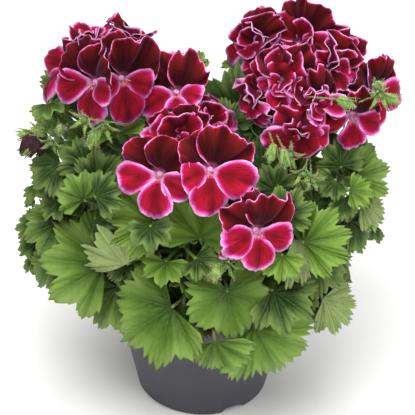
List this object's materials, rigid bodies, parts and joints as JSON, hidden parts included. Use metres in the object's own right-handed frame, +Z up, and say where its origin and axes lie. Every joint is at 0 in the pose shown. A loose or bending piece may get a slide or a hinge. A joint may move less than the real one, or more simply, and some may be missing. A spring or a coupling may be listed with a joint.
{
  "type": "potted regal pelargonium",
  "caption": "Bushy flowering pelargonium with lobed, toothed leaves and heads of ruffled dark crimson, pink-edged blooms, in a tapered round nursery pot.",
  "frame": {"origin": "middle of the pot's underside, in the plane it stands on", "axes": "+Z up out of the pot, +X to the viewer's right, +Y away from the viewer: the picture's front is -Y"},
  "size_m": [0.2362, 0.2026, 0.2733],
  "materials": {
    "plastic": "matte",
    "compost": "rough",
    "foliage": "soft satin",
    "petals": "velvety"
  },
  "bodies": {
    "root": {"pot": "plastic", "compost": "compost", "leafy_stem_left": "foliage", "leafy_stem_far_left": "foliage", "leafy_stem_centre": "foliage", "leafy_stem_middle": "foliage", "leafy_stem_right": "foliage", "leafy_stem_far_right": "foliage", "leafy_stem_front": "foliage", "leafy_stem_back_left": "foliage", "leafy_stem_back": "foliage", "leafy_stem_back_right": "foliage", "bloom_left_1": "petals", "bloom_left_2": "petals", "bloom_left_3": "petals", "bloom_left_4": "petals", "bloom_left_5": "petals", "bloom_centre_1": "petals", "bloom_centre_2": "petals", "bloom_centre_3": "petals", "bloom_centre_4": "petals", "bloom_centre_5": "petals", "bloom_front_1": "petals", "bloom_right_1": "petals", "bloom_right_2": "petals", "bloom_right_3": "petals", "bloom_right_4": "petals", "bloom_right_5": "petals", "bloom_right_6": "petals", "bloom_right_7": "petals", "bloom_right_8": "petals", "bloom_right_9": "petals", "bloom_far_right_1": "petals", "bloom_far_right_2": "petals", "bloom_back_left_1": "petals", "bloom_back_left_2": "petals", "bloom_back_1": "petals", "bloom_back_right_1": "petals", "bloom_back_right_2": "petals"}
  },
  "joints": []
}
